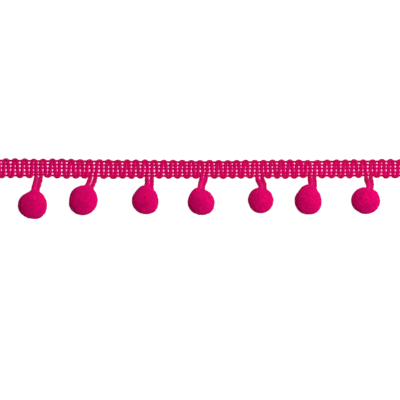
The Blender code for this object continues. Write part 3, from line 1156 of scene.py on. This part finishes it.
def between_legs(points, pompom):
    """How near each point of a loop is to the line between its legs, as the strength of its painted glow.
    """
    middles = middle_points(pompom)
    line = np.column_stack([middles, np.zeros(len(middles))])
    _, distance, _ = nearest_on_line(points, line)
    return LEG_PAINTED_GLOW * np.clip((LEG_GLOW_REACH - distance) / LEG_GLOW_FADE, 0, 1)


def dense_middle(pompom, pile_length):
    """The pompom's dense middle, which the yarn ends stand on."""
    bpy.ops.mesh.primitive_ico_sphere_add(subdivisions=4, radius=1.0)
    ball = bpy.context.object
    directions = unit(read_points(ball.data))
    radius = reach_towards(pompom, directions) - pile_length
    write_points(ball.data, centre_of(pompom) + directions * radius[:, None])
    return ball


def clip_and_settle(mesh, skin, pompom, legs, pile_length, draw):
    """Clips the pile to the outline, parts it round the loop and rests it on the surface.

    The last points of the mesh, as many as skin says, are the dense middle's.
    """
    points = read_points(mesh)
    centre = centre_of(pompom)
    away = points - centre
    distance = np.linalg.norm(away, axis=1)
    directions = away / distance[:, None]
    reach = reach_towards(pompom, directions)
    shortest = reach - pile_length + SHORTEST_END
    for waves, wavelength, height in LUMPS:
        reach += unevenness(directions, draw, waves, wavelength, height)
    limit = reach * (1.0 + draw.uniform(*CLIP_SPREAD, len(points)))
    clipped = np.minimum(distance, np.maximum(limit, shortest))
    points = centre + directions * clipped[:, None]
    # tip runs from 0 at the dense middle to 1 at the clipped tips. The pile's material uses it to paint
    # shade towards the roots.
    tip = np.clip((clipped - (reach - pile_length)) / pile_length, 0, 1)
    ends = points[:-skin].reshape(-1, 2 * END_SIDES, 3)
    middles = ends.mean(axis=1)
    near, gap, radius = nearest_on_line(middles, legs)
    aside = np.maximum(radius + LEG_CLEARANCE - gap, 0)
    ends += (unit(middles - near + TINY) * aside[:, None])[:, None]
    low = points[:, 2] < 0.0
    drop = centre[2] / (centre[2] - points[low, 2])
    points[low] = centre + (points[low] - centre) * drop[:, None]
    write_points(mesh, points)
    mark_points(mesh, "tip", tip)


# ---- operators


class TRIM_OT_weft(bpy.types.Operator):
    """Lay the weft cord to and fro across the heading"""

    bl_idname = "trim.weft"
    bl_label = "Weft Cord"

    def execute(self, context):
        settings = context.scene.trim_cord
        weft = cord_from_lines("weft_cord", WeftLayout().runs(), CORD_SECTION, TWIST_PITCH)
        close_caps(weft)
        points = read_points(weft.data)
        points[:, 2] = CORD_HEIGHT + (points[:, 2] - CORD_HEIGHT) * CORD_FLATTENING
        write_points(weft.data, points)
        # Painted glow on the weft's sides that face a gap.
        mark_points(weft.data, "painted_gap_glow", facing_next_pass(weft.data, points))
        material = cord_material(
            "weft cord", settings.colour, settings, PLIES, fibres=60.0, length=150.0
        )
        finish_piece(weft, "weft_cord", material, ["heading_braid"])
        return {"FINISHED"}


class TRIM_OT_chains(bpy.types.Operator):
    """Work the five chains of binding thread over the weft"""

    bl_idname = "trim.chains"
    bl_label = "Wale Chains"

    def execute(self, context):
        settings = context.scene.trim_cord
        layout = WeftLayout()
        weft = np.concatenate(layout.runs())
        tree = kdtree.KDTree(len(weft))
        for index, (x, y, _, _) in enumerate(weft):
            tree.insert((x, y, CORD_HEIGHT), index)
        tree.balance()
        radius = settings.thread_radius / MM
        material = cord_material(
            "binding thread", settings.thread_colour, settings, plies=2, fibres=20.0, length=1000.0
        )
        for wale in range(WALES):
            stitches = [stitch_points(wale, number) for number in range(PASSES)]
            points = sum(stitches, [])[: -len(STITCH_UNDERLAP)]
            line = laid_on_weft(points, tree, weft, radius)
            line = resampled(corners_cut(corners_cut(line)), THREAD_STEP)
            line[:, 0] = np.clip(line[:, 0], -CUT_END_X, CUT_END_X)
            name = f"wale_chain_{wale + 1}"
            chain = cord_from_lines(name, [line])
            close_caps(chain)
            # Painted glow on the thread where it runs out over a gap.
            mark_points(chain.data, "painted_gap_glow", over_gaps(read_points(chain.data), layout, wale))
            finish_piece(chain, name, material)
        return {"FINISHED"}


class TRIM_OT_loops(bpy.types.Operator):
    """Drop a loop of the cord from the heading to each pompom"""

    bl_idname = "trim.loops"
    bl_label = "Drop Loops"

    def execute(self, context):
        settings = context.scene.trim_cord
        layout = WeftLayout()
        material = cord_material(
            "loop cord", settings.colour, settings, PLIES, fibres=70.0, length=32.0
        )
        for number, pompom in enumerate(POMPOMS, 1):
            line = loop_points(pompom, layout)
            loop = cord_from_lines("loop", [line], CORD_SECTION, TWIST_PITCH)
            close_caps(loop)
            points = lift_points(loop.data, CORD_CLEARANCE)
            # Painted glow on the loop's cord between its legs.
            mark_points(loop.data, "painted_gap_glow", between_legs(points, pompom))
            finish_piece(loop, f"drop_loop_{number}", material, [f"loop_{number}"])
        return {"FINISHED"}


class TRIM_OT_fuzz(bpy.types.Operator):
    """Raise the fine hairs of the heading's and the loops' yarns"""

    bl_idname = "trim.fuzz"
    bl_label = "Yarn Fuzz"

    def execute(self, context):
        settings = context.scene.trim_cord
        cords = [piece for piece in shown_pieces() if piece.get("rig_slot") == "trim_cord"]
        hair = yarn_hair(settings.hair_radius)
        bpy.ops.mesh.primitive_plane_add(size=MM)
        fuzz = context.object
        modified(fuzz, "yarn fuzz", fuzz_nodes(hair, cords, settings.hair_spacing, seed=3))
        lift_points(fuzz.data, HAIR_CLEARANCE)
        material = hair_material("yarn fuzz", settings.hair_colour, settings.colour)
        finish_piece(fuzz, "yarn_fuzz", material)
        remove_object(hair)
        return {"FINISHED"}


class TRIM_OT_pompoms(bpy.types.Operator):
    """Make each pompom's clipped pile and tie it round its loop"""

    bl_idname = "trim.pompoms"
    bl_label = "Pompoms"

    def execute(self, context):
        settings = context.scene.trim_pile
        pile_length = settings.pile_length / MM
        layout = WeftLayout()
        material = pile_material("clipped pile", settings.colour, settings.shade)
        stub = yarn_end(settings.end_radius, settings.pile_length)
        for number, pompom in enumerate(POMPOMS, 1):
            ball = dense_middle(pompom, pile_length)
            skin = len(ball.data.vertices)
            seed = settings.seed + 10 * number
            modified(ball, "clipped pile", pile_nodes(stub, settings.end_spacing, seed))
            draw = np.random.default_rng(settings.seed + number)
            legs = loop_points(pompom, layout)
            clip_and_settle(ball.data, skin, pompom, legs, pile_length, draw)
            name = f"pompom_pile_{number}"
            finish_piece(ball, name, material, [f"pompom_{number}"], "clipped_pile")
        remove_object(stub)
        return {"FINISHED"}


class TRIM_OT_stage(bpy.types.Operator):
    """Set out the pale floor, the soft lights and the camera above"""

    bl_idname = "trim.stage"
    bl_label = "Stage"

    def execute(self, context):
        settings = context.scene.trim_stage
        deselect_all()
        bpy.ops.mesh.primitive_plane_add(size=FLOOR_SIZE)
        floor = context.object
        floor.name = "floor"
        floor.data.materials.append(floor_material(settings.floor_colour, settings.floor_glow))
        floor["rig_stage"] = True

        world = bpy.data.worlds.new("soft daylight")
        world.use_nodes = True
        sky = world.node_tree.nodes["Background"]
        Nodes(world.node_tree).fill(sky, {"Color": (1, 1, 1, 1), "Strength": SKY_STRENGTH})
        context.scene.world = world

        lamp = bpy.data.lights.new("key light", "AREA")
        lamp.size = KEY_SIZE
        lamp.energy = KEY_POWER
        light = bpy.data.objects.new("key light", lamp)
        light.location = KEY_PLACE
        light.rotation_mode = "QUATERNION"
        light.rotation_quaternion = light.location.to_track_quat("Z", "Y")
        light.visible_camera = False
        context.scene.collection.objects.link(light)

        lens = bpy.data.cameras.new("camera above")
        lens.lens = settings.lens
        lens.clip_start = 0.01
        camera = bpy.data.objects.new("camera above", lens)
        distance = settings.view_width * settings.lens / lens.sensor_width
        camera.location = (settings.view_x, settings.view_y, distance + VIEW_HEIGHT)
        context.scene.collection.objects.link(camera)
        context.scene.camera = camera
        context.scene.view_settings.view_transform = "Standard"
        return {"FINISHED"}


# Each group of settings and the operators that use it
GROUPS = (
    ("trim_cord", TrimCordSettings, ("trim.weft", "trim.chains", "trim.loops", "trim.fuzz")),
    ("trim_pile", TrimPileSettings, ("trim.pompoms",)),
    ("trim_stage", TrimStageSettings, ("trim.stage",)),
)


class TRIM_PT_panel(bpy.types.Panel):
    """Lists the trim's pieces and their settings."""

    bl_idname = "TRIM_PT_panel"
    bl_label = "Pompom Fringe Trim"
    bl_space_type = "VIEW_3D"
    bl_region_type = "UI"
    bl_category = "Trim"

    def draw(self, context):
        for name, kind, operators in GROUPS:
            box = self.layout.box()
            for key in kind.__annotations__:
                box.prop(getattr(context.scene, name), key)
            for operator in operators:
                box.operator(operator)


CLASSES = (
    TrimCordSettings,
    TrimPileSettings,
    TrimStageSettings,
    TRIM_OT_weft,
    TRIM_OT_chains,
    TRIM_OT_loops,
    TRIM_OT_fuzz,
    TRIM_OT_pompoms,
    TRIM_OT_stage,
    TRIM_PT_panel,
)


def register():
    for kind in CLASSES:
        bpy.utils.register_class(kind)
    for name, kind, _ in GROUPS:
        setattr(bpy.types.Scene, name, bpy.props.PointerProperty(type=kind))


def unregister():
    for name, _, _ in GROUPS:
        delattr(bpy.types.Scene, name)
    for kind in reversed(CLASSES):
        bpy.utils.unregister_class(kind)


def main():
    register()
    bpy.ops.trim.weft()
    bpy.ops.trim.chains()
    bpy.ops.trim.loops()
    bpy.ops.trim.fuzz()
    bpy.ops.trim.pompoms()
    bpy.ops.trim.stage()


if __name__ == "__main__":
    main()
